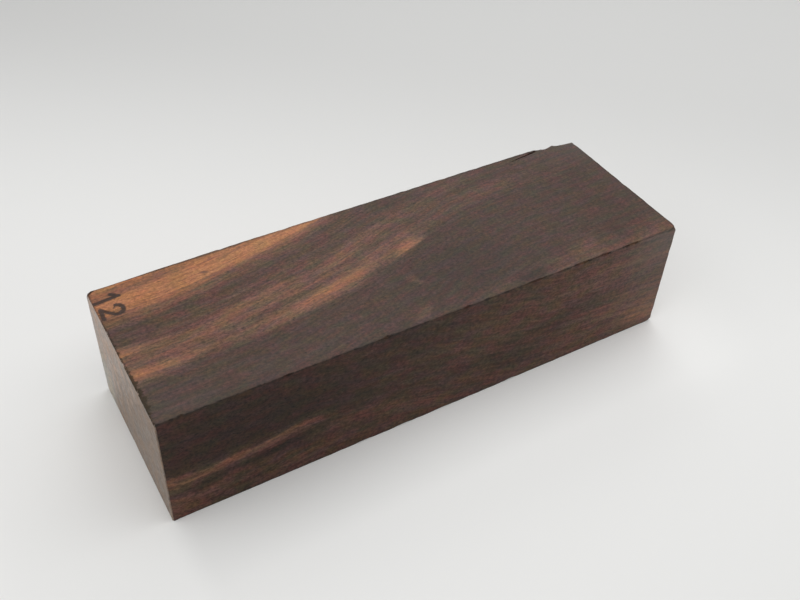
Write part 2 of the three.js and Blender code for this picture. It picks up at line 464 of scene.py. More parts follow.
@dataclass(frozen=True)
class Ruler:
    """The lines of the grid along one side of the block.

    Attributes:
        length: the side's length, mm.
        step: the usual distance between two lines, mm.
        near: the first steps in from both ends, mm, which give the arris its roundness.
        close: stretches with closer lines, each with its start, end and step, mm.
    """

    length: float
    step: float
    near: tuple[float, ...] = (0.09, 0.09, 0.11, 0.14, 0.2, 0.3)
    close: tuple[Triple, ...] = ()

    def _step_at(self, place: float) -> float:
        """Returns the step wanted at a place."""
        steps = [step for start, end, step in self.close if start <= place < end]
        return min(steps, default=self.step)

    def places(self) -> np.ndarray:
        """Spreads the lines.

        Returns:
            Their places, from 0 to the length, mm.
        """
        margin = sum(self.near)
        inner = [margin]
        while inner[-1] < self.length - margin:
            inner.append(inner[-1] + self._step_at(inner[-1]))
        inner = np.array(inner)
        inner = margin + (inner - margin) * (self.length - 2 * margin) / (inner[-1] - margin)
        first = np.cumsum((0.0, *self.near[:-1]))
        return np.concatenate([first, inner, self.length - first[::-1]])


class Side(Enum):
    """The block's six sides. Each has the axis it faces along and whether it is the far one."""

    LEFT = (0, False)
    RIGHT = (0, True)
    BACK = (1, False)
    FRONT = (1, True)
    TOP = (2, False)
    BOTTOM = (2, True)

    @property
    def axis(self) -> int:
        """The axis it faces along: 0 along, 1 across, 2 below."""
        return self.value[0]

    @property
    def far(self) -> bool:
        """Whether it lies at the axis's far end."""
        return self.value[1]

    @property
    def spread(self) -> tuple[int, int]:
        """The two axes that it spreads over, in the order that faces it outwards."""
        first, second = (self.axis + 1) % 3, (self.axis + 2) % 3
        return (second, first) if self.far else (first, second)


@dataclass(frozen=True)
class Sheet:
    """How the six sides lie on one square sheet: the four long ones in a stack, the ends beside.

    Attributes:
        size: the block's size.
        gap: the distance between two sides on the sheet, mm.
    """

    size: BlockSize
    gap: float = 1.5

    @property
    def span(self) -> float:
        """The sheet's side.

        Returns:
            The side, mm.
        """
        wide = self.size.length + self.size.height + 3 * self.gap
        tall = 2 * (self.size.width + self.size.height) + 5 * self.gap
        return max(wide, tall)

    def corner(self, side: Side) -> Pair:
        """Returns where a side's own corner lies on the sheet.

        Args:
            side: the side.

        Returns:
            The place, mm.
        """
        size, gap = self.size, self.gap
        beside = size.length + 2 * gap
        places = {
            Side.TOP: (gap, gap),
            Side.BOTTOM: (gap, size.width + 2 * gap),
            Side.FRONT: (gap, 2 * size.width + 3 * gap),
            Side.BACK: (gap, 2 * size.width + size.height + 4 * gap),
            Side.LEFT: (beside, gap),
            Side.RIGHT: (beside, size.width + 2 * gap),
        }
        return places[side]

    def spot(self, side: Side, spot: Sequence[float]) -> Pair:
        """Returns a point's place on the sheet.

        Args:
            side: the side that it is on.
            spot: its distances along, across and below, mm.

        Returns:
            Its place, from 0 to 1 both ways.
        """
        across, along = {0: (2, 1), 1: (0, 2), 2: (0, 1)}[side.axis]
        corner = self.corner(side)
        u = (corner[0] + spot[across]) / self.span
        v = (corner[1] + spot[along]) / self.span
        return u, v


@dataclass(frozen=True)
class Crack:
    """The fine crack behind the splinter on the top face.

    Attributes:
        path: its points, each with the distances from the left end and the back face, mm.
        half_width: how far to each side of the path the grid is let down into it, mm.
    """

    path: tuple[Pair, ...] = (
        (109.8, 1.86), (110.8, 1.68), (112.4, 1.46), (114.9, 1.22), (116.9, 0.98), (118.5, 0.72)
    )
    half_width: float = 0.2

    def distance(self, along: float, across: float) -> float:
        """Returns the distance of a point of the top face from the crack.

        Args:
            along: from the left end, mm.
            across: from the back face, mm.

        Returns:
            The distance, mm.
        """
        spot = Vector((along, across))
        best = math.inf
        for start, end in zip(self.path, self.path[1:]):
            a, run = Vector(start), Vector(end) - Vector(start)
            share = min(1.0, max(0.0, (spot - a).dot(run) / run.length_squared))
            best = min(best, (spot - a - run * share).length)
        return best


@dataclass
class EdgeWear:
    """Small chips and ragged fibres along the arrises, as a Geometry Nodes tree.

    Attributes:
        size: the block's size.
        spacing: the distance between two small chips along an arris, mm.
        reach: the largest chip's radius, mm.
        depth: the deepest small chip, mm.
        ragged: how far the fibres are rubbed back at an arris, mm.
        rough: how uneven torn wood is, mm.
        seed: the seed of all that is random.
        chip_shape: what the distances from a chip's middle are multiplied by, along, across and below.
        chip_jitter: how far a chip is shifted across an arris, as a share of its shift along it.
        chip_slope: where a chip starts and where it is full, in radii from its middle.
        chip_fade: how far from the arris the chips end, and where they are full, mm.
        ragged_fade: the same for the ragged fibres, mm.
        ragged_noise: the noise at which the fibres start to be rubbed back, and where they are fully.
        rough_noise: the same for the torn wood's roughness.
    """

    size: BlockSize
    spacing: float = 3.6
    reach: float = 0.6
    depth: float = 0.045
    ragged: float = 0.015
    rough: float = 0.16
    seed: int = 12
    chip_shape: Triple = (0.45, 1.0, 1.0)
    chip_jitter: float = 0.3
    chip_slope: Pair = (1.0, 0.25)
    chip_fade: Pair = (0.8, 0.15)
    ragged_fade: Pair = (0.75, 0.05)
    ragged_noise: Pair = (0.42, 0.75)
    rough_noise: Pair = (0.3, 0.7)

    def _inputs(self) -> dict[str, tuple[str, object]]:
        """Lists the tree's named inputs.

        Returns:
            Their kinds and values by name, in metres.
        """
        size = self.size
        return {
            "Block size": ("NodeSocketVector", (size.length * MM, size.width * MM, size.height * MM)),
            "Block middle": ("NodeSocketVector", (0.0, 0.0, size.height * MM / 2)),
            "Lowest corner": ("NodeSocketVector", tuple(CAD_LOW)),
            "Highest corner": ("NodeSocketVector", tuple(CAD_HIGH)),
            "Chip spacing": ("NodeSocketFloat", self.spacing * MM),
            "Chip reach": ("NodeSocketFloat", self.reach * MM),
            "Chip depth": ("NodeSocketFloat", self.depth * MM),
            "Ragged depth": ("NodeSocketFloat", self.ragged * MM),
            "Torn roughness": ("NodeSocketFloat", self.rough * MM),
            "Seed": ("NodeSocketInt", self.seed),
        }

    def tree(self) -> bpy.types.GeometryNodeTree:
        """Builds the tree.

        Returns:
            The tree.
        """
        group = bpy.data.node_groups.new("arris_wear", "GeometryNodeTree")
        group.interface.new_socket("Geometry", in_out="INPUT", socket_type="NodeSocketGeometry")
        for name, (kind, _) in self._inputs().items():
            group.interface.new_socket(name, in_out="INPUT", socket_type=kind)
        group.interface.new_socket("Wood", in_out="INPUT", socket_type="NodeSocketMaterial")
        group.interface.new_socket("Geometry", in_out="OUTPUT", socket_type="NodeSocketGeometry")
        board = Board(group)
        source = board.node("NodeGroupInput")
        given = {socket.name: Term(board, socket) for socket in source.outputs if socket.name}
        box = board.term("GeometryNodeMeshCube", None, {"Size": given["Block size"]})
        box = board.term("GeometryNodeTransform", None, {0: box, "Translation": given["Block middle"]})
        chips, reach = self._chips(board, given, box)
        moved, torn = self._worn(board, given, box, chips, reach)
        solid = board.term("GeometryNodeRealizeInstances", None, {0: board.store(moved, TORN, torn)})
        dressed = board.term("GeometryNodeSetMaterial", None, {"Geometry": solid, "Material": given["Wood"]})
        board.node("NodeGroupOutput", None, {0: dressed})
        return group

    def _chips(self, board: Board, given: dict[str, Term], box: Term) -> tuple[Term, Term]:
        """Sets a point for each small chip, along the box's edges.

        Args:
            board: the tree.
            given: its inputs.
            box: the block's plain box.

        Returns:
            The points, and the radius of each.
        """
        spacing, seed = given["Chip spacing"], given["Seed"]
        edges = board.term("GeometryNodeMeshToCurve", None, {0: box})
        values = {"Curve": edges, "Length": spacing}
        points = board.term("GeometryNodeCurveToPoints", {"mode": "LENGTH"}, values)
        ends = {0: (-1.0, -1.0, -1.0), 1: (1.0, 1.0, 1.0), "Seed": seed}
        jitter = board.term("FunctionNodeRandomValue", {"data_type": "FLOAT_VECTOR"}, ends)
        half = spacing * 0.5
        sideways = half * self.chip_jitter
        offset = board.vectors("MULTIPLY", jitter, board.vector(half, sideways, sideways))
        points = board.term("GeometryNodeSetPosition", None, {"Geometry": points, "Offset": offset})
        ends = {2: 0.0, 3: 1.0, "Seed": seed + 1}
        chance = board.term("FunctionNodeRandomValue", {"data_type": "FLOAT"}, ends, 1)
        reach = given["Chip reach"] * board.math("POWER", chance, 3.0)
        return board.store(points, "reach", reach), board.stored("reach")

    def _worn(
        self, board: Board, given: dict[str, Term], box: Term, chips: Term, reach: Term
    ) -> tuple[Term, Term]:
        """Moves the skin in at the chips, along the arrises and where the wood is torn.

        Args:
            board: the tree.
            given: its inputs.
            box: the block's plain box.
            chips: the chips' points.
            reach: the radius of each.

        Returns:
            The moved skin, and how torn each of its points is.
        """
        place = board.term("GeometryNodeInputPosition")
        normal = board.term("GeometryNodeInputNormal")
        values = {0: chips, "Sample Position": place}
        index = board.term("GeometryNodeSampleNearest", {"domain": "POINT"}, values)
        middle, radius = (
            board.term(
                "GeometryNodeSampleIndex",
                {"data_type": kind, "domain": "POINT"},
                {"Geometry": chips, "Value": value, "Index": index},
            )
            for kind, value in (("FLOAT_VECTOR", place), ("FLOAT", reach))
        )
        away = board.vectors("MULTIPLY", board.vectors("SUBTRACT", place, middle), self.chip_shape)
        chipped = board.rise(board.length(away) / board.most(radius, 1e-6), *self.chip_slope)
        values = {0: box, "Sample Position": place}
        arris = board.term("GeometryNodeProximity", {"target_element": "EDGES"}, values, "Distance")
        in_chips, in_ragged = (
            board.rise(arris, start * MM, full * MM) for start, full in (self.chip_fade, self.ragged_fade)
        )
        ragged = board.rise(board.noise(place, Grain.WORN_ARRIS), *self.ragged_noise)
        fibres = board.rise(board.noise(place, Grain.TORN_FIBRES), *self.rough_noise)
        torn = board.stored(TORN)
        depth = chipped * in_chips * given["Chip depth"] + in_ragged * ragged * given["Ragged depth"]
        depth = depth + torn * fibres * given["Torn roughness"]
        inner = board.vectors("ADD", place, board.scaled(normal, -depth))
        inner = board.vectors("MAXIMUM", inner, given["Lowest corner"])
        inner = board.vectors("MINIMUM", inner, given["Highest corner"])
        values = {"Geometry": given["Geometry"], "Position": inner}
        moved = board.term("GeometryNodeSetPosition", None, values)
        return moved, board.most(torn, chipped * 0.8)

    def apply(self, skin: bpy.types.Object, wood: bpy.types.Material) -> None:
        """Runs the tree on the skin and keeps the result as a plain mesh.

        Args:
            skin: the block's skin.
            wood: its material.
        """
        group = self.tree()
        modifier = skin.modifiers.new("arris_wear", "NODES")
        modifier.node_group = group
        items = group.interface.items_tree
        sockets = {item.name: item.identifier for item in items if item.in_out == "INPUT"}
        for name, (_, value) in self._inputs().items():
            modifier[sockets[name]] = value
        modifier[sockets["Wood"]] = wood
        graph = bpy.context.evaluated_depsgraph_get()
        worn = bpy.data.meshes.new_from_object(
            skin.evaluated_get(graph), preserve_all_data_layers=True, depsgraph=graph
        )
        skin.modifiers.remove(modifier)
        plain = skin.data
        skin.data = worn
        bpy.data.meshes.remove(plain)
        worn.name = skin.name


@dataclass
class BlockSkin:
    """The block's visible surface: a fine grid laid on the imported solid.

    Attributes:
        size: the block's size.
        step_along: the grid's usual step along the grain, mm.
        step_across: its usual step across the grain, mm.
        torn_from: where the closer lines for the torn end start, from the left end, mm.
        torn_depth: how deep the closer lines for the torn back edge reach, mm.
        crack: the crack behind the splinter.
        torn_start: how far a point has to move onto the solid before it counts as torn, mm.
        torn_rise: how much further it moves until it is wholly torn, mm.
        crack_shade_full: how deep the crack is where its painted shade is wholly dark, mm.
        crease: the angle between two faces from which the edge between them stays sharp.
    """

    size: BlockSize
    step_along: float = 0.62
    step_across: float = 0.75
    torn_from: float = 108.5
    torn_depth: float = 2.7
    crack: Crack = field(default_factory=Crack)
    torn_start: float = 0.3
    torn_rise: float = 0.35
    crack_shade_full: float = 0.25
    crease: float = 32.0

    def rulers(self) -> tuple[Ruler, Ruler, Ruler]:
        """Sets the spacing of the grid's lines.

        Returns:
            The lines along, across and below.
        """
        size = self.size
        return (
            Ruler(size.length, self.step_along, close=((self.torn_from, size.length, 0.4),)),
            Ruler(size.width, self.step_across, close=((0.0, self.torn_depth, 0.13),)),
            Ruler(size.height, self.step_across, close=((0.0, 9.0, 0.5),)),
        )

    def grid(self, name: str) -> bpy.types.Object:
        """Builds the closed grid on the block's plain box, with its map.

        Args:
            name: the piece's name.

        Returns:
            The object, with its distances in metres.
        """
        lines = [ruler.places() for ruler in self.rulers()]
        last = [len(line) - 1 for line in lines]
        sheet = Sheet(self.size)
        numbers: dict[tuple[int, int, int], int] = {}
        spots: list[Triple] = []
        faces: list[tuple[int, ...]] = []
        marks: list[Pair] = []
        for side in Side:
            first, second = side.spread
            for i in range(last[first]):
                for j in range(last[second]):
                    corners = []
                    for step_i, step_j in ((0, 0), (1, 0), (1, 1), (0, 1)):
                        key = [0, 0, 0]
                        key[side.axis] = last[side.axis] if side.far else 0
                        key[first] = i + step_i
                        key[second] = j + step_j
                        spot = tuple(float(lines[axis][key[axis]]) for axis in range(3))
                        number = numbers.setdefault(tuple(key), len(spots))
                        if number == len(spots):
                            spots.append(spot)
                        corners.append(number)
                        marks.append(sheet.spot(side, spot))
                    faces.append(tuple(corners))
        skin = add_mesh(name, [self.size.place(*spot) for spot in spots], faces)
        layer = skin.data.uv_layers.new(name=UV_NAME)
        layer.data.foreach_set("uv", np.array(marks, dtype=np.float32).ravel())
        return skin

    def lay_on(self, skin: bpy.types.Object, solid: bpy.types.Object) -> None:
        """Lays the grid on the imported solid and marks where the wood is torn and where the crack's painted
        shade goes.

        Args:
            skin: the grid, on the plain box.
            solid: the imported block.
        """
        source = solid.data
        corners = [vertex.co.copy() for vertex in source.vertices]
        tree = BVHTree.FromPolygons(corners, [tuple(face.vertices) for face in source.polygons])
        mesh = skin.data
        torn = np.zeros(len(mesh.vertices), dtype=np.float32)
        crack_shade = np.zeros(len(mesh.vertices), dtype=np.float32)
        crowded = []
        top = self.size.height * MM
        for vertex in mesh.vertices:
            spot = vertex.co.copy()
            along = spot.x / MM + self.size.length / 2
            across = self.size.width / 2 - spot.y / MM
            # points let down into the crack carry its painted shade, darker the deeper they lie
            if spot.z > top - 1e-6 and self.crack.distance(along, across) < self.crack.half_width:
                hit = tree.ray_cast(spot + Vector((0, 0, MM)), Vector((0, 0, -1)))[0]
                if hit is not None:
                    crack_shade[vertex.index] = min(1.0, (top - hit.z) / MM / self.crack_shade_full)
                    vertex.co = hit
                    continue
            near, _, _, moved = tree.find_nearest(spot)
            vertex.co = near
            moved /= MM
            torn[vertex.index] = min(1.0, max(0.0, (moved - self.torn_start) / self.torn_rise))
            if moved > self.torn_start:
                crowded.append(vertex.index)
        self._spread(mesh, tree, set(crowded))
        for name, values in ((TORN, torn), (SPLIT, crack_shade)):
            mesh.attributes.new(name, "FLOAT", "POINT").data.foreach_set("value", values)

    def _spread(self, mesh: bpy.types.Mesh, tree: BVHTree, crowded: set[int]) -> None:
        """Spreads crowded points out evenly and lays them on the solid again.

        Args:
            mesh: the skin's mesh.
            tree: the solid's surface.
            crowded: the points that were moved far.
        """
        around: dict[int, list[int]] = {index: [] for index in crowded}
        for edge in mesh.edges:
            a, b = edge.vertices
            if a in around:
                around[a].append(b)
            if b in around:
                around[b].append(a)
        moved = {}
        for index, near in around.items():
            middle = sum((mesh.vertices[other].co for other in near), Vector()) / len(near)
            moved[index] = tree.find_nearest(mesh.vertices[index].co.lerp(middle, 0.5))[0]
        for index, spot in moved.items():
            mesh.vertices[index].co = spot

    def build(self, name: str, solid: bpy.types.Object, wood: bpy.types.Material) -> bpy.types.Object:
        """Makes the finished skin.

        Args:
            name: the piece's name.
            solid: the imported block.
            wood: its material.

        Returns:
            The piece.
        """
        skin = self.grid(name)
        self.lay_on(skin, solid)
        EdgeWear(self.size).apply(skin, wood)
        skin.data.shade_smooth()
        skin.data.set_sharp_from_angle(angle=math.radians(self.crease))
        return skin


@dataclass(frozen=True)
class GrowthLayers:
    """The growth layers' course through the block.

    A layer has a number, its distance from the back edge at the left end of the top face.
    From there the layers lean as they go down and bend towards the back as they go right.

    Attributes:
        lean: how far a layer goes towards the front for each step down, by distance along.
        bend: how far a layer has moved back, by distance along.
        slant: how much later the bend comes for each step across.
        pivot: the distance across at which the bend comes as it is given.
        reach: the lowest and highest distance along that the bend's curve covers.
        most_bend: the bend that the curve's height of 1 stands for.
        waver: the noises that shift the layers to and fro, each with how far, mm.
    """

    lean: tuple[Pair, ...] = (
        (0.0, 0.73), (8.0, 0.677), (14.0, 0.714), (21.0, 0.751),
        (29.0, 0.868), (37.0, 0.926), (60.0, 0.942), (130.0, 0.862),
    )
    bend: tuple[Pair, ...] = (
        (-20.0, -0.11), (10.0, -0.22), (20.0, 0.51), (30.0, 2.18), (40.0, 4.22), (50.0, 6.27), (60.0, 9.02),
        (70.0, 12.2), (80.0, 14.37), (92.0, 16.95), (110.0, 18.37), (130.0, 19.6), (160.0, 20.97),
    )
    slant: float = 0.275
    pivot: float = 15.0
    reach: Pair = (-20.0, 160.0)
    most_bend: float = 25.0
    waver: tuple[tuple[Grain, float], ...] = ((Grain.WANDER, 0.9), (Grain.WIGGLE, 0.5))

    def _curve(self, board: Board, place: Term, points: Iterable[Pair], height: float) -> Term:
        """Reads a curve through the given points.

        Args:
            board: the material's tree.
            place: where it is read, mm.
            points: its places and heights.
            height: the height that stands for 1.

        Returns:
            The height at that place.
        """
        low, high = self.reach
        scaled = [((x - low) / (high - low), y / height) for x, y in points]
        spot = (place - low) / (high - low)
        return board.term("ShaderNodeFloatCurve", {"points": scaled}, {"Factor": 1.0, "Value": spot}) * height

    def number(self, spot: Spot) -> Term:
        """Returns the layer's number at a place.

        Args:
            spot: the place.

        Returns:
            The layer's number, mm.
        """
        level = spot.across - self._curve(spot.board, spot.along, self.lean, 1.0) * spot.below
        place = spot.along - self.slant * (level - self.pivot)
        layer = level + self._curve(spot.board, place, self.bend, self.most_bend)
        return sum(((spot.noise(kind) - 0.5) * far for kind, far in self.waver), layer)


@dataclass(frozen=True)
class Streak:
    """A lighter or darker streak that follows the growth layers.

    Attributes:
        layers: the lowest and highest layer it fills.
        glow: how much lighter than the plain wood it is, below 0 where it is darker.
        soft: how wide its two sides' slopes are, mm.
        start: where it shows first along the grain, if it starts inside the block, mm.
        end: where it shows last, if it ends inside the block, mm.
        fade: how long it takes to show and to go, mm.
        veer: how far it leaves its layer for each mm past the place veer_from.
        veer_from: where it starts to leave its layer, mm.
        deep: how much of it is left deep below the top face.
        from_below: how deep below the top face it starts, or 0.
    """

    layers: Pair
    glow: float
    soft: Pair = (1.2, 1.2)
    start: Optional[float] = None
    end: Optional[float] = None
    fade: Pair = (8.0, 8.0)
    veer: float = 0.0
    veer_from: float = 58.0
    deep: float = 1.0
    from_below: float = 0.0

    def mask(self, spot: Spot, layer: Term, run: Term, sunk: Term) -> Term:
        """Returns how strongly the streak shows.

        Args:
            spot: the place.
            layer: the layer's number there.
            run: the distance along the streak.
            sunk: 0 at the top face and 1 deep below it.

        Returns:
            Its glow where it is full, and 0 outside it.
        """
        rise = spot.board.rise
        if self.veer:
            layer = layer - spot.board.most(run - self.veer_from, 0.0) * self.veer
        low, high = self.layers
        shown = rise(layer, low - self.soft[0], low) * rise(layer, high + self.soft[1], high)
        if self.start is not None:
            shown = shown * rise(run, self.start - self.fade[0], self.start)
        if self.end is not None:
            shown = shown * rise(run, self.end + self.fade[1], self.end)
        if self.from_below:
            shown = shown * rise(spot.below, self.from_below - 3, self.from_below + 3)
        if self.deep < 1:
            shown = shown * (1 - sunk * (1 - self.deep))
        return shown * self.glow


@dataclass(frozen=True)
class Cloud:
    """A soft lighter or darker patch in the wood.

    Attributes:
        middle: its middle's distances along, across and below, mm.
        reach: how far it goes from there in the same directions, mm.
        glow: how much lighter than the plain wood it is, below 0 where it is darker.
        turn: how it is turned about each of the three directions, degrees.
    """

    middle: Triple
    reach: Triple
    glow: float
    turn: Triple = (0.0, 0.0, 0.0)

    def mask(self, board: Board, place: Term) -> Term:
        """Returns how strongly the patch shows.

        Args:
            board: the material's tree.
            place: the distances along, across and below, as a vector.

        Returns:
            Its glow in the middle, and 0 outside it.
        """
        turn = tuple(math.radians(angle) for angle in self.turn)
        values = {"Vector": place, "Location": self.middle, "Rotation": turn, "Scale": self.reach}
        inside = board.term("ShaderNodeMapping", {"vector_type": "TEXTURE"}, values)
        return board.rise(board.length(inside), 1.0, 0.1) * self.glow


@dataclass(frozen=True)
class InkNumber:
    """A plain number written across the grain near the left end with a fine marker.

    Attributes:
        strokes: the straight strokes, each from one place to another, as distances from the
            left end and from the back face, mm.
        hook_middle: the middle of the second digit's round top.
        hook_radius: its radius.
        hook_cut: the distance from the left end below which the round top is left open.
        hook_slope: how far that limit moves for each mm across.
        half_width: half the stroke's width.
        bleed: how far the ink has run into the wood.
        ragged: how far noise moves the strokes' sides.
        soaked: how deep below the top face it ends, and where it is full, mm.
        patchy: the noise from which it is thicker, and where it is thick.
        tones: the ink's colour where it is thin and where it is thick.
        cover: how much of the wood it hides.
    """

    strokes: tuple[tuple[Pair, Pair], ...] = (
        ((0.5, 5.05), (5.7, 4.55)),
        ((5.6, 4.55), (4.3, 3.45)),
        ((3.3, 9.75), (0.9, 7.35)),
        ((0.9, 7.35), (0.75, 10.35)),
    )
    hook_middle: Pair = (4.15, 8.6)
    hook_radius: float = 1.35
    hook_cut: float = 3.85
    hook_slope: float = 0.35
    half_width: float = 0.45
    bleed: float = 0.3
    ragged: float = 0.7
    soaked: Pair = (0.6, 0.2)
    patchy: Pair = (0.35, 0.7)
    tones: tuple[Triple, Triple] = ((0.045, 0.036, 0.036), (0.030, 0.019, 0.013))
    cover: float = 0.92

    @staticmethod
    def _stroke(spot: Spot, start: Pair, end: Pair) -> Term:
        """Returns the distance from a straight stroke.

        Args:
            spot: the place.
            start: one end of the stroke.
            end: its other end.

        Returns:
            The distance, mm.
        """
        board = spot.board
        run_x, run_y = end[0] - start[0], end[1] - start[1]
        x, y = spot.along - start[0], spot.across - start[1]
        share = (x * run_x + y * run_y) / (run_x**2 + run_y**2)
        share = board.least(board.most(share, 0.0), 1.0)
        return board.length(board.vector(x - share * run_x, y - share * run_y, 0.0))

    def write(self, spot: Spot, colour: Term, uneven: Term) -> Term:
        """Writes the number on the wood.

        Args:
            spot: the place.
            colour: the wood's colour.
            uneven: noise from 0 to 1 that roughens the strokes' sides.

        Returns:
            The colour with the ink on it.
        """
        board = spot.board
        distances = [self._stroke(spot, *stroke) for stroke in self.strokes]
        x, y = spot.along - self.hook_middle[0], spot.across - self.hook_middle[1]
        ring = abs(board.length(board.vector(x, y, 0.0)) - self.hook_radius)
        open_side = self.hook_cut - spot.along + (self.hook_middle[1] - spot.across) * self.hook_slope
        gap = board.least(*distances, board.most(ring, open_side)) + (uneven - 0.5) * self.ragged
        drawn = board.rise(gap, self.half_width + self.bleed, self.half_width - self.bleed / 2)
        drawn = drawn * board.rise(spot.below, *self.soaked)
        ink = board.blend(board.rise(uneven, *self.patchy), *self.tones)
        return board.blend(drawn * self.cover, colour, ink)


@dataclass(frozen=True)
class SealAndSheen:
    """The pale, dull sealer that both sawn ends are coated with. Its pale colour is partly the sealer and
    partly painted sheen, a painted reflection of the pale floor at a grazing angle.

    Attributes:
        thick: its colour where it is thick, at the upper back corner.
        thin: its colour where it is thin, at the lower front corner.
        cool_cast: what its colour is multiplied by in the greyer blotches.
        warm_cast: what it is multiplied by in the redder blotches.
        change: the distance from the upper back corner where it starts and ends to thin out, mm.
        grey: its colour low down on the back side, where it is dusty.
        tilt: how its fine grain is turned, radians.
        grain: how close that grain is in each direction, lumps to a mm.
        reach: how far in from the end plane it goes, mm.
        full: the share of that distance up to which it is full.
        waver: how far noise moves its edge, mm.
        patchy: how far noise moves the place where it thins out, mm.
        dusty_across: where the dust starts and is full, from the back face, mm.
        dusty_below: the same from the top face.
        dusty_patchy: how much noise adds to the dust.
        blotch: the noise at which a blotch is wholly cool, and wholly warm.
        speckle: how strong its fine grain is.
        cover: how much of the wood under it is hidden.
        bare: how much of it is missing where the wood shows through.
        bare_from: the noise at which the wood starts to show through, and where it shows fully.
    """

    thick: Triple = (0.47, 0.37, 0.305)
    thin: Triple = (0.274, 0.210, 0.164)
    cool_cast: Triple = (0.935, 1.02, 1.12)
    warm_cast: Triple = (1.08, 0.98, 0.90)
    change: Pair = (19.0, 40.0)
    grey: Triple = (0.45, 0.414, 0.35)
    tilt: Triple = (0.7, 0.0, 0.4)
    grain: Triple = (0.5, 0.75, 0.75)
    reach: float = 0.34
    full: float = 0.35
    waver: float = 0.2
    patchy: float = 45.0
    dusty_across: Pair = (10.0, 4.0)
    dusty_below: Pair = (13.0, 21.0)
    dusty_patchy: float = 3.0
    blotch: Pair = (0.36, 0.64)
    speckle: float = 2.4
    cover: float = 0.95
    bare: float = 0.15
    bare_from: Pair = (0.05, 0.2)

    def lay(self, spot: Spot, size: BlockSize, colour: Term, intact: Term) -> tuple[Term, Term]:
        """Covers the wood near the two ends with the sealer and its painted sheen.

        Args:
            spot: the place.
            size: the block's size.
            colour: the wood's colour.
            intact: 1 where the end is whole, and 0 where it has chipped off.

        Returns:
            The colour, and how much sealer and painted sheen there is.
        """
        board = spot.board
        patchy = spot.noise(Grain.COAT_PATCH) - 0.5
        fine = board.noise(board.turned(spot.vector, self.tilt, self.grain), Grain.COAT_SPECK) - 0.5
        in_end = board.least(spot.along, size.length - spot.along)
        edge = in_end + (spot.noise(Grain.COAT_EDGE) - 0.5) * self.waver
        seal_and_sheen_share = board.rise(edge, self.reach, self.reach * self.full) * self.cover * intact
        thinned = board.rise(spot.across + spot.below + patchy * self.patchy, *self.change)
        dusty = board.rise(spot.across, *self.dusty_across) * board.rise(spot.below, *self.dusty_below)
        # the pale colour here is partly the sealer and partly painted sheen, a reflection of the pale floor
        # at a grazing angle
        coat_and_sheen = board.blend(thinned, self.thick, self.thin)
        coat_and_sheen = board.blend(dusty * (1 + patchy * self.dusty_patchy), coat_and_sheen, self.grey)
        warm = board.rise(spot.noise(Grain.COAT_BLOTCH), *self.blotch)
        coat_and_sheen = board.vectors("MULTIPLY", coat_and_sheen, board.blend(warm, self.cool_cast, self.warm_cast))
        coat_and_sheen = board.scaled(coat_and_sheen, 1 + fine * self.speckle)
        bare = board.rise(fine, *self.bare_from) * seal_and_sheen_share * self.bare
        return board.blend(seal_and_sheen_share - bare, colour, coat_and_sheen), seal_and_sheen_share


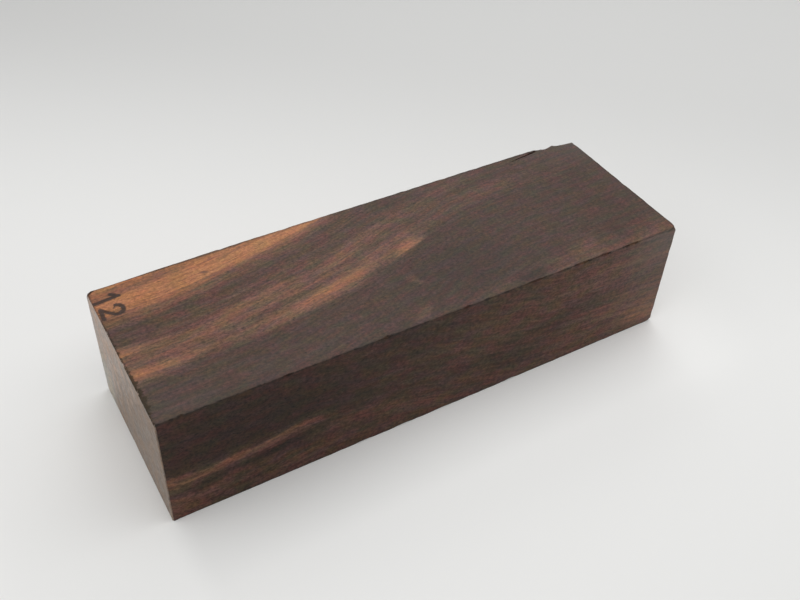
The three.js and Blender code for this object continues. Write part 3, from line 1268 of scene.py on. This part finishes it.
@dataclass(frozen=True)
class DarkEdges:
    """The dark marks along the arrises, in the torn wood and the crack, and at the left rim. Those in the
    nibbles, in the crack and along the upper back arris are painted shade, and the worn strip is partly
    painted shade.

    Pairs are distances in mm, where a mark starts and where it is full.

    Attributes:
        worn: the worn strip, from every arris; along the bottom arrises it is also painted contact shade.
        worn_and_shade_ragged: how much noise adds to that distance, mm.
        nibble_shade: the strip of painted shade in the small nibbles along the upper front arris.
        nibble_shade_weights: what the distances below and back from it are multiplied by.
        nibble_shade_noise: the noise at which the strip is as given, and how far it shifts it, mm.
        nibble_shade_along: where the nibbles are, from the left end.
        back: the strip of painted shade along the upper back arris, on its shadow side.
        back_shade_ragged: how much noise adds to that distance, mm.
        back_shade_along: where it is strong, from the left end.
        back_shade_least: its strength elsewhere.
        rim_reach: how far the left rim of the top face reaches, and how much further where it is wide, mm.
        rim_fade: over how many mm it fades.
        rim_bitten: how far noise shifts it, mm.
        rim_across: where it is, from the back face.
        rim_wide: where it is wide, from the back face: where that begins and where it ends.
        corner: the clipped upper back left corner, from the corner, in units of corner_reach.
        corner_reach: how far such a unit goes along, across and below, mm.
        corner_ragged: how far noise moves its edge, in the same units.
    """

    worn: Pair = (0.95, 0.5)
    worn_and_shade_ragged: float = 0.8
    nibble_shade: Pair = (0.7, 0.2)
    nibble_shade_weights: Pair = (0.9, 1.4)
    nibble_shade_noise: Pair = (0.62, 3.6)
    nibble_shade_along: Pair = (129.0, 112.0)
    back: Pair = (1.15, 0.75)
    back_shade_ragged: float = 0.4
    back_shade_along: Pair = (50.0, 24.0)
    back_shade_least: float = 0.35
    rim_reach: Pair = (0.3, 0.85)
    rim_fade: float = 0.5
    rim_bitten: float = 4.4
    rim_across: Pair = (11.5, 15.0)
    rim_wide: tuple[Pair, Pair] = ((25.0, 29.0), (42.0, 36.0))
    corner: Pair = (1.6, 1.3)
    corner_reach: Triple = (2.0, 1.3, 1.6)
    corner_ragged: float = 0.3

    def clipped(self, spot: Spot, uneven: Term) -> Term:
        """Returns where the upper back left corner is clipped off.

        Args:
            spot: the place.
            uneven: noise from 0 to 1.

        Returns:
            1 on the clipped corner and 0 outside.
        """
        along, across, below = self.corner_reach
        near = spot.along / along + spot.across / across + spot.below / below
        return spot.board.rise(near + (uneven - 0.5) * self.corner_ragged, *self.corner)

    def _nibble_shade(self, spot: Spot, size: BlockSize) -> Term:
        """Returns where the painted shade in the nibbles of the upper front arris lies.

        Args:
            spot: the place.
            size: the block's size.

        Returns:
            1 in a nibble and 0 outside.
        """
        down, back = self.nibble_shade_weights
        middle, shift = self.nibble_shade_noise
        near = spot.board.most(spot.below * down, (size.width - spot.across) * back)
        near = near + (middle - spot.noise(Grain.NIBBLE_SHADE)) * shift
        return spot.board.rise(near, *self.nibble_shade) * spot.board.rise(spot.along, *self.nibble_shade_along)

    def _rim(self, spot: Spot) -> Term:
        """Returns where the left rim of the top face is dark.

        Args:
            spot: the place.

        Returns:
            1 in the dark rim and 0 outside.
        """
        board, (reach, more) = spot.board, self.rim_reach
        begins, ends = (board.rise(spot.across, *wide) for wide in self.rim_wide)
        reach = reach + begins * ends * more
        near = board.most(spot.along, spot.below) + (spot.noise(Grain.BITTEN) - 0.5) * self.rim_bitten
        return board.rise(near, reach, reach - self.rim_fade) * board.rise(spot.across, *self.rim_across)

    def darken(self, spot: Spot, size: BlockSize, colour: Term) -> Term:
        """Lays all the marks over the wood's colour, the painted shade among them.

        Args:
            spot: the place.
            size: the block's size.
            colour: the wood's colour.

        Returns:
            The darkened colour.
        """
        board = spot.board
        in_x = board.least(spot.along, size.length - spot.along)
        in_y = board.least(spot.across, size.width - spot.across)
        in_z = board.least(spot.below, size.height - spot.below)
        arris = board.least(board.most(in_x, in_y), board.most(in_y, in_z), board.most(in_x, in_z))
        ragged = spot.noise(Grain.RAGGED)
        # painted shade along the shadow side of the upper back arris
        back = board.rise(board.most(spot.across, spot.below) + ragged * self.back_shade_ragged, *self.back)
        strong = board.rise(spot.along, *self.back_shade_along)
        masks = {
            # wear on every arris, which is also painted contact shade at the bottom arrises
            Stain.WORN_AND_SHADE: board.rise(arris + ragged * self.worn_and_shade_ragged, *self.worn),
            Stain.NIBBLE_SHADE: self._nibble_shade(spot, size),
            Stain.BACK_ARRIS_SHADE: back * (strong * (1 - self.back_shade_least) + self.back_shade_least),
            Stain.LEFT_RIM: self._rim(spot),
            Stain.TORN: board.marked(TORN),
            Stain.SPLIT: board.marked(SPLIT),
        }
        for stain, mask in masks.items():
            colour = stain.over(colour, mask)
        return colour


@dataclass(frozen=True)
class Ironwood:
    """Solid ironwood: dark heartwood with orange-brown streaks, sanded and unoiled.

    Attributes:
        size: the block's size.
        layers: the course of its growth layers.
        tones: the wood's colours from the darkest to the lightest, each with its glow.
        streaks: its streaks.
        clouds: its soft patches.
        dark_glow: the glow of the plain dark wood.
        lag: how much later a streak runs for each mm below and across.
        lag_from: the distance across at which it runs as it is given, mm.
        cloud_shift: how far the patches' outlines are shifted about, mm.
        plum: what the colour is multiplied by in patches, by their noise.
        red: what it is multiplied by in streaks, by their noise.
        sheen_colour: the grey of the painted sheen on the top and front faces, a painted reflection of the
            pale surround.
        sheen_share: how much of that painted sheen there is all over the top face.
        top_sheen: more painted sheen on the top face: where it starts and is full along and across, and its
            share.
        front_sheen: the same on the front face, along and below.
        line_shares: how strong each kind of line is in the darkest wood, and how much the glow adds.
        pore: the noise at which a pore starts and is full.
        pore_dark: how much darker the wood is there.
        speckle: the fine specks' strength in the darkest wood, how much the glow takes off, and the least.
        sunk: where the streaks start to dim below the top face, and are fully dimmed, mm.
        lumps: how close the noise that shifts the patches' outlines is, lumps to a mm.
        tinted: the glow at which the tint is weakest, and strongest.
        tint_least: the tint's strength where it is weakest.
        sheen_edge: how far from its face the painted sheen ends, and where it is full, mm.
        rubbed: where the sealer starts and is full below the rubbed top arris of an end, mm.
        rubbed_ragged: how far noise moves that, mm.
        torn_bare: how much of the sealer the torn wood lacks.
        figure: how close the faint figure that crosses the grain is in each direction, bands to a mm.
        figure_turn: how that figure is turned, radians.
        roughness: the sanded wood's roughness.
        shine: the strength of its reflections.
        relief: how high the fine relief is where it is 1, mm.
        edges: the dark marks along the arrises and at the torn end.
        seal_and_sheen: the sealer on the two ends, with painted sheen in its pale colour.
        ink: the number on the top face.
    """

    size: BlockSize
    layers: GrowthLayers = GrowthLayers()
    tones: tuple[tuple[float, Triple], ...] = (
        (0.0, (0.018, 0.0085, 0.0052)),
        (0.144, (0.041, 0.0195, 0.0122)),
        (0.212, (0.058, 0.0285, 0.0178)),
        (0.314, (0.087, 0.0425, 0.0265)),
        (0.424, (0.124, 0.060, 0.0375)),
        (0.593, (0.197, 0.087, 0.048)),
        (0.763, (0.276, 0.1135, 0.051)),
        (0.949, (0.386, 0.163, 0.068)),
    )
    streaks: tuple[Streak, ...] = (
        Streak((5.4, 8.3), 0.69, (4.0, 3.0), deep=0.6),
        Streak((-2.8, 0.2), 0.68, (1.5, 4.4), deep=0.6),
        Streak((10.9, 11.2), 0.22, (2.3, 4.0), end=24.0, fade=(8.0, 30.0), deep=0.6),
        Streak((12.1, 23.2), 0.05, (2.2, 3.4), end=77.0, fade=(8.0, 10.0), deep=0.0),
        Streak((20.9, 22.0), 0.43, (2.3, 0.9), end=1.0, fade=(8.0, 17.0), deep=0.5),
        Streak((17.5, 21.2), 0.07, (2.8, 2.0), 14.0, 38.0, (5.0, 24.0), deep=0.59),
        Streak((20.8, 22.1), 0.10, (1.7, 2.1), 27.0, 36.0, (5.0, 4.0), deep=0.5),
        Streak((20.9, 21.2), 0.16, (2.0, 3.5), 52.0, 52.0, (6.0, 34.0), deep=0.0),
        Streak((23.3, 26.9), 0.22, (3.4, 3.5), end=34.0, fade=(8.0, 38.0), deep=0.93),
        Streak((28.5, 29.3), 0.37, (3.5, 2.8), end=11.0, fade=(8.0, 25.0), deep=0.5),
        Streak((29.0, 29.3), 0.17, (2.7, 2.8), 39.0, 68.0, (12.0, 7.0), 0.058, deep=0.74),
        Streak((29.2, 30.3), 0.22, (3.2, 3.1), 49.0, 58.0, (12.0, 8.0), 0.058, deep=0.05),
        Streak((26.2, 26.9), 0.10, (0.9, 1.1), 61.0, 68.0, (4.0, 4.0), 0.058, deep=0.0),
        Streak((29.2, 30.2), 0.23, (2.1, 1.7), 71.5, 71.5, (6.0, 5.0), 0.058, deep=0.0),
        Streak((29.8, 30.5), 0.16, (1.0, 0.9), 71.0, 73.5, (4.0, 2.5), 0.058, deep=0.0),
        Streak((26.1, 27.3), 0.10, (3.6, 4.3), 57.0, 87.0, (18.0, 33.0), deep=0.93),
        Streak((15.5, 22.2), 0.10, (1.5, 3.1), end=79.0, fade=(8.0, 36.0), from_below=16.0),
        Streak((28.9, 29.5), 0.16, (1.0, 0.9), 30.0, 66.5, (12.0, 9.0), from_below=8.0),
        Streak((25.9, 26.6), -0.06, (0.7, 1.8), end=49.0, fade=(8.0, 7.0)),
        Streak((-13.0, -8.5), 0.45, (1.6, 2.2)),
        Streak((-19.5, -18.0), 0.30, (1.0, 1.5)),
    )
    clouds: tuple[Cloud, ...] = (
        Cloud((130.6, 46.0, 17.0), (94.1, 13.0, 50.3), 0.278),
        Cloud((102.9, 44.0, 15.5), (41.4, 6.0, 5.9), -0.154, (0.0, 8.0, 0.0)),
        Cloud((85.4, 44.0, 23.2), (12.8, 5.0, 4.7), -0.162),
        Cloud((125.3, 44.0, 25.5), (12.8, 5.0, 5.3), 0.202),
        Cloud((97.0, 44.0, 21.0), (10.0, 5.0, 5.0), -0.08),
        Cloud((19.2, 44.0, 11.4), (33.8, 8.0, 18.5), -0.109),
        Cloud((66.0, 44.0, 11.7), (22.1, 6.0, 3.0), 0.062, (0.0, -5.1, 0.0)),
        Cloud((62.0, 44.0, 28.0), (24.0, 6.0, 6.5), 0.085),
        Cloud((18.9, 44.0, 21.3), (28.7, 4.0, 2.7), -0.241, (0.0, 6.3, 0.0)),
        Cloud((88.4, 40.6, 0.0), (6.6, 2.5, 4.0), -0.193),
        Cloud((116.1, 36.8, 0.0), (3.6, 4.9, 4.0), -0.06),
        Cloud((106.8, 37.6, 0.0), (6.7, 6.4, 4.0), 0.078),
        Cloud((64.3, 29.7, 0.0), (3.4, 1.5, 2.0), 0.17, (0.0, 0.0, 48.0)),
        Cloud((60.9, 39.6, 0.0), (4.6, 2.4, 2.0), 0.15, (0.0, 0.0, -34.0)),
        Cloud((25.0, 5.6, 0.0), (1.5, 0.8, 2.0), -0.5),
        Cloud((73.1, 2.3, 0.0), (14.4, 3.6, 4.0), -0.09),
        Cloud((31.0, 0.5, 0.0), (26.0, 7.0, 5.0), 0.12),
        Cloud((1.0, 44.0, 19.0), (7.0, 5.0, 3.0), 0.05),
        Cloud((84.0, 0.0, 0.0), (60.0, 7.5, 5.0), 0.05),
        Cloud((76.3, 31.8, 0.0), (21.0, 15.3, 6.0), -0.063),
    )
    dark_glow: float = 0.195
    lag: float = 0.86
    lag_from: float = 17.0
    cloud_shift: Triple = (7.0, 2.5, 2.5)
    plum: tuple[tuple[float, Triple], ...] = ((0.35, (1.12, 0.925, 1.22)), (0.65, (0.88, 1.07, 0.80)))
    red: tuple[tuple[float, Triple], ...] = ((0.34, (1.12, 0.93, 0.84)), (0.66, (0.89, 1.06, 1.16)))
    sheen_colour: Triple = (0.30, 0.30, 0.29)
    sheen_share: float = 0.045
    top_sheen: tuple[tuple[Pair, Pair, float], ...] = (
        ((72.0, 8.0), (25.0, 41.0), 0.031),
        ((17.0, 4.0), (12.0, 16.0), 0.02),
        ((108.0, 126.0), (13.0, 2.0), 0.045),
        ((123.0, 129.0), EVERYWHERE, 0.022),
    )
    front_sheen: tuple[tuple[Pair, Pair, float], ...] = (
        ((104.0, 126.0), EVERYWHERE, 0.048),
        ((112.0, 126.0), (18.0, 1.0), 0.14),
        ((123.0, 129.0), EVERYWHERE, 0.022),
    )
    line_shares: tuple[tuple[Grain, float, float], ...] = (
        (Grain.FINE_LINE, -0.054, 1.62),
        (Grain.HAIR_LINE, -0.02, 0.6),
        (Grain.STRAND, 0.06, 0.32),
        (Grain.MOTTLE, 0.15, 0.14),
        (Grain.FIGURE, 0.06, 0.12),
    )
    pore: Pair = (0.64, 0.74)
    pore_dark: float = 0.3
    speckle: Triple = (3.1, 2.0, 1.7)
    sunk: Pair = (2.0, 14.0)
    lumps: float = 0.16
    tinted: Pair = (0.8, 0.15)
    tint_least: float = 0.35
    sheen_edge: Pair = (0.25, 0.05)
    rubbed: Pair = (0.05, 0.45)
    rubbed_ragged: float = 1.2
    torn_bare: float = 0.85
    figure: Triple = (0.9, 0.4, 0.5)
    figure_turn: Triple = (0.0, 0.5, -0.7)
    roughness: float = 0.38
    shine: float = 0.15
    relief: float = 0.04
    edges: DarkEdges = DarkEdges()
    seal_and_sheen: SealAndSheen = SealAndSheen()
    ink: InkNumber = InkNumber()

    def build(self, name: str) -> bpy.types.Material:
        """Makes the material.

        Args:
            name: its name.

        Returns:
            The material.
        """
        board = Finish(name)
        spot = Spot.read(board, self.size)
        layer = self.layers.number(spot)
        grain = board.vector(spot.along, layer, spot.below)
        lines = self._lines(spot, grain)
        glow = self._glow(spot, layer)
        glow = sum((lines[kind] * (glow * more + least) for kind, least, more in self.line_shares), glow)
        pores = board.rise(spot.noise(Grain.PORE), *self.pore)
        darkest, by_glow, least = self.speckle
        speck = (spot.noise(Grain.SPECK) - 0.5) * board.most(darkest - glow * by_glow, least)
        colour = self._tint(spot, board.ramp(glow, self.tones), glow, grain)
        colour = board.scaled(colour, 1 + speck - pores * self.pore_dark)
        # painted sheen: a grey veil on the top and front faces that stands in for the reflection of the pale
        # surround
        colour = board.blend(self._painted_sheen(spot), colour, self.sheen_colour)
        colour = self.edges.darken(spot, self.size, colour)
        uneven = spot.noise(Grain.UNEVEN)
        colour = self.ink.write(spot, colour, uneven)
        torn = board.marked(TORN)
        clipped = self.edges.clipped(spot, uneven)
        colour = Stain.CLIPPED.over(colour, clipped)
        rubbed = board.rise(spot.below + (uneven - 0.5) * self.rubbed_ragged, *self.rubbed)
        intact = rubbed * (1 - torn * self.torn_bare) * (1 - clipped)
        colour, seal_and_sheen_share = self.seal_and_sheen.lay(spot, self.size, colour, intact)
        hair = lines[Grain.HAIR_LINE]
        relief = hair * 0.35 + lines[Grain.FINE_LINE] * 0.3 - pores * (1 - seal_and_sheen_share)
        relief = relief + torn * spot.noise(Grain.TORN_WOOD) * 3
        bump = {"Strength": 0.5, "Distance": self.relief * MM, "Height": relief}
        values = {
            "Base Color": colour,
            "Roughness": self.roughness + seal_and_sheen_share * 0.1 + hair * 0.1 + torn * 0.3 + pores * 0.1,
            "Normal": board.term("ShaderNodeBump", None, bump),
            "Specular IOR Level": self.shine,
        }
        return board.close(values)

    @staticmethod
    def _sheen_on_face(spot: Spot, down: Term, sheen_share: Value, patches: Iterable[tuple[Pair, Pair, float]]) -> Value:
        """Adds up the painted sheen on one face.

        Args:
            spot: the place.
            down: the distance from the face's back or upper arris, mm.
            sheen_share: how much painted sheen there is all over the face.
            patches: where there is more of it.

        Returns:
            The painted sheen's share, from 0 to 1.
        """
        rise = spot.board.rise
        for along, other, share in patches:
            sheen_share = sheen_share + rise(spot.along, *along) * rise(down, *other) * share
        return sheen_share

    def _painted_sheen(self, spot: Spot) -> Term:
        """Returns how much painted sheen there is on the top and front faces.

        Args:
            spot: the place.

        Returns:
            The painted sheen's share, from 0 to 1, and 0 off these two faces.
        """
        rise = spot.board.rise
        on_top = self._sheen_on_face(spot, spot.across, self.sheen_share, self.top_sheen) * rise(spot.below, *self.sheen_edge)
        on_front = self._sheen_on_face(spot, spot.below, 0.0, self.front_sheen)
        return on_top + on_front * rise(self.size.width - spot.across, *self.sheen_edge)

    def _glow(self, spot: Spot, layer: Term) -> Term:
        """Returns how light the wood is, from 0 to 1, before its fine lines.

        Args:
            spot: the place.
            layer: the layer's number there.

        Returns:
            The glow.
        """
        board = spot.board
        run = spot.along + self.lag * spot.below + self.lag * (spot.across - self.lag_from)
        sunk = board.rise(spot.below, *self.sunk)
        glow = sum((streak.mask(spot, layer, run, sunk) for streak in self.streaks), self.dark_glow)
        lumps = {"Vector": spot.vector, "Scale": self.lumps, "Detail": 2.0}
        uneven = board.term("ShaderNodeTexNoise", {"noise_dimensions": "3D"}, lumps, "Color")
        centred = board.vectors("SUBTRACT", uneven, (0.5, 0.5, 0.5))
        ragged = board.vectors("MULTIPLY_ADD", centred, self.cloud_shift, spot.vector)
        return sum((cloud.mask(board, ragged) for cloud in self.clouds), glow)

    def _lines(self, spot: Spot, grain: Term) -> dict[Grain, Term]:
        """Reads the fine lines, the mottling and the figure.

        Args:
            spot: the place.
            grain: the distance along, the layer's number and the distance below, as a vector.

        Returns:
            Each of them, as noise about 0.
        """
        turned = spot.board.turned(spot.vector, self.figure_turn, self.figure)
        places = {
            Grain.FINE_LINE: grain,
            Grain.HAIR_LINE: grain,
            Grain.STRAND: grain,
            Grain.MOTTLE: spot.vector,
            Grain.FIGURE: turned,
        }
        return {kind: spot.board.noise(place, kind) - 0.5 for kind, place in places.items()}

    def _tint(self, spot: Spot, colour: Term, glow: Term, grain: Term) -> Term:
        """Shifts the colour towards plum and olive, and towards red and grey, in soft patches.

        Args:
            spot: the place.
            colour: the wood's colour.
            glow: how light the wood is. Light wood is shifted less.
            grain: the distance along, the layer's number and the distance below, as a vector.

        Returns:
            The tinted colour.
        """
        board = spot.board
        share = board.rise(glow, *self.tinted) * (1 - self.tint_least) + self.tint_least
        streaks = board.noise(grain, Grain.RED_STREAK)
        for place, stops in ((spot.noise(Grain.PLUM_PATCH), self.plum), (streaks, self.red)):
            hues = board.blend(share, (1.0, 1.0, 1.0), board.ramp(place, stops))
            colour = board.vectors("MULTIPLY", colour, hues)
        return colour


@dataclass(frozen=True)
class Paper:
    """The floor's plain matt paper, with painted light round the block and painted shade far behind it.

    Attributes:
        size: the block's size.
        colour: its colour.
        roughness: its roughness.
        backwards: the direction in which the painted shade darkens the floor.
        painted_shade_fall: where the painted shade starts and ends in that direction, m.
        painted_shade_loss: how much darker the painted shade makes the paper past it.
        painted_light_gain: how much lighter the painted light makes it close to the block.
        painted_light_reach: how far from the block the painted light goes, m.
        left_x: where the painted light by the left end starts and is full, from that end, m.
        left_y: the same across, from the back face.
        front_left: where the painted light in front of the block starts and is full, from the left end, m.
        front_right: the same from the right end.
    """

    size: BlockSize
    colour: Triple = (0.80, 0.80, 0.79)
    roughness: float = 0.9
    backwards: Pair = (0.66, 0.75)
    painted_shade_fall: Pair = (0.012, 0.15)
    painted_shade_loss: float = 0.185
    painted_light_gain: float = 0.13
    painted_light_reach: float = 0.031
    left_x: Pair = (0.004, -0.003)
    left_y: Pair = (0.01, -0.02)
    front_left: Pair = (0.02, 0.075)
    front_right: Pair = (0.045, 0.0)

    def _painted_light(self, board: Board, x: Term, y: Term) -> Term:
        """Returns the painted light: how much the paper's colour is multiplied by for lying close to the
        block.

        Args:
            board: the material's tree.
            x: the place along the block, m.
            y: the place across it, m.

        Returns:
            1 far from the block, and more where painted light lies beside its left end and its front face.
        """
        half_x, half_y = self.size.length * MM / 2, self.size.width * MM / 2
        out_x, out_y = board.most(abs(x) - half_x, 0.0), board.most(abs(y) - half_y, 0.0)
        gap = board.length(board.vector(out_x, out_y, 0.0))
        left = board.rise(x + half_x, *self.left_x) * board.rise(y - half_y, *self.left_y)
        front = board.rise(x + half_x, *self.front_left) * board.rise(x - half_x, *self.front_right)
        beside = board.most(left, front * board.rise(y, half_y, -half_y))
        return 1 + board.rise(gap, self.painted_light_reach, 0.0) * beside * self.painted_light_gain

    def build(self, name: str) -> bpy.types.Material:
        """Makes the material.

        Args:
            name: its name.

        Returns:
            The material.
        """
        board = Finish(name)
        x, y, _ = board.axes()
        # painted shade far behind the block, and painted light close to it, in the paper's own colour
        far = board.rise(x * self.backwards[0] + y * self.backwards[1], *self.painted_shade_fall)
        dimmed = tuple(channel * (1 - self.painted_shade_loss) for channel in self.colour)
        colour = board.scaled(board.blend(far, self.colour, dimmed), self._painted_light(board, x, y))
        return board.close({"Base Color": colour, "Roughness": self.roughness})


@dataclass(frozen=True)
class SoftLight:
    """One oblong soft light.

    Attributes:
        place: its place, m.
        aim: what it points at, m.
        sides: its two sides, m.
        power: its power, W.
    """

    place: Triple
    aim: Triple
    sides: Pair
    power: float

    def build(self, name: str) -> None:
        """Adds the light to the scene.

        Args:
            name: its name.
        """
        light = bpy.data.lights.new(name, "AREA")
        light.shape = "RECTANGLE"
        light.size, light.size_y = self.sides
        light.energy = self.power
        lamp = add_object(name, light)
        lamp.location = self.place
        turn = (Vector(self.aim) - Vector(self.place)).to_track_quat("-Z", "Y")
        lamp.rotation_euler = turn.to_euler()


@dataclass(frozen=True)
class Studio:
    """The pale floor, the soft light round it and the camera.

    Attributes:
        size: the block's size.
        floor_radius: where the floor starts to rise, m.
        rim: how far out and up the rising rim goes, m.
        surround: the strength of the even light from all round.
        lights: the soft lights.
        camera_place: the camera's place as shares of the block's length.
        camera_ahead: the direction it looks in.
        camera_right: the direction to its right.
        focal_px: its focal length in pixels of a picture of the given width.
        picture_px: that width.
    """

    size: BlockSize
    floor_radius: float = 0.75
    rim: float = 0.6
    surround: float = 0.22
    lights: tuple[SoftLight, ...] = (
        SoftLight((-0.035, -0.02, 0.42), (-0.035, -0.02, 0.0), (1.2, 0.5), 2.95),
        SoftLight((0.315, 0.5, 0.54), (0.0, 0.0, 0.02), (0.45, 0.45), 1.0),
    )
    camera_place: Triple = (-0.68998132, -1.10912257, 1.33010557)
    camera_ahead: Triple = (0.39370175, 0.62394645, -0.67504797)
    camera_right: Triple = (0.86340124, -0.50303956, 0.03859404)
    focal_px: float = 976.35
    picture_px: float = 800.0

    def floor(self) -> bpy.types.Object:
        """Makes the floor, a wide round sheet with a rising rim.

        Returns:
            The floor.
        """
        turns, rises, hub = 96, 16, 0.0001
        rings = [(hub, 0.0), (self.floor_radius / 3, 0.0), (self.floor_radius, 0.0)]
        for step in range(1, rises + 1):
            angle = step / rises * math.pi / 2
            rings.append((self.floor_radius + self.rim * math.sin(angle), self.rim * (1 - math.cos(angle))))
        spots = []
        for radius, height in rings:
            for turn in range(turns):
                angle = turn / turns * 2 * math.pi
                spots.append((radius * math.cos(angle), radius * math.sin(angle), height))
        faces = [tuple(range(turns))]
        for ring in range(len(rings) - 1):
            for turn in range(turns):
                here, there = ring * turns, (ring + 1) * turns
                after = (turn + 1) % turns
                faces.append((here + turn, there + turn, there + after, here + after))
        floor = add_mesh("floor", spots, faces)
        floor.data.shade_smooth()
        floor.data.materials.append(Paper(self.size).build("floor_paper_painted_light"))
        return floor

    def world(self) -> None:
        """Sets the even light from all round."""
        world = bpy.data.worlds.new("soft_surround")
        world.use_nodes = True
        board = Board(world.node_tree)
        values = {"Color": (1.0, 1.0, 0.995, 1.0), "Strength": self.surround}
        glow = board.term("ShaderNodeBackground", None, values)
        board.node("ShaderNodeOutputWorld", None, {"Surface": glow})
        bpy.context.scene.world = world

    def camera(self) -> None:
        """Sets the camera at the photograph's place and angle."""
        data = bpy.data.cameras.new("camera")
        data.sensor_width = 36.0
        data.lens = data.sensor_width * self.focal_px / self.picture_px
        data.clip_start = 0.01
        data.clip_end = 10.0
        camera = add_object("camera", data)
        ahead = Vector(self.camera_ahead).normalized()
        right = Vector(self.camera_right).normalized()
        up = right.cross(ahead)
        turn = Matrix((right, up, -ahead)).transposed()
        place = Vector(self.camera_place) * self.size.length * MM
        camera.matrix_world = Matrix.Translation(place) @ turn.to_4x4()
        bpy.context.scene.camera = camera

    def build(self) -> None:
        """Makes the whole studio."""
        self.floor()
        self.world()
        for number, light in enumerate(self.lights, 1):
            light.build(f"soft_light_{number}")
        self.camera()
        settings = bpy.context.scene.view_settings
        settings.view_transform = "Standard"
        settings.look = "None"


def main() -> None:
    """Builds the block and the studio round it, and reports each piece."""
    logging.basicConfig(level=logging.INFO, format="%(name)s: %(message)s")
    size = BlockSize.from_frame()
    log.info("block %.1f x %.1f x %.1f mm", size.length, size.width, size.height)
    wood = Ironwood(size).build("ironwood")
    block = BlockSkin(size).build("block_skin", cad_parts[NODE], wood)
    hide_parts(NODE)
    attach(block, BODY)
    log.info("%s: %d faces, %d points", block.name, len(block.data.polygons), len(block.data.vertices))
    Studio(size).build()
    log.info("studio: floor, light and camera")


if __name__ == "__main__":
    main()
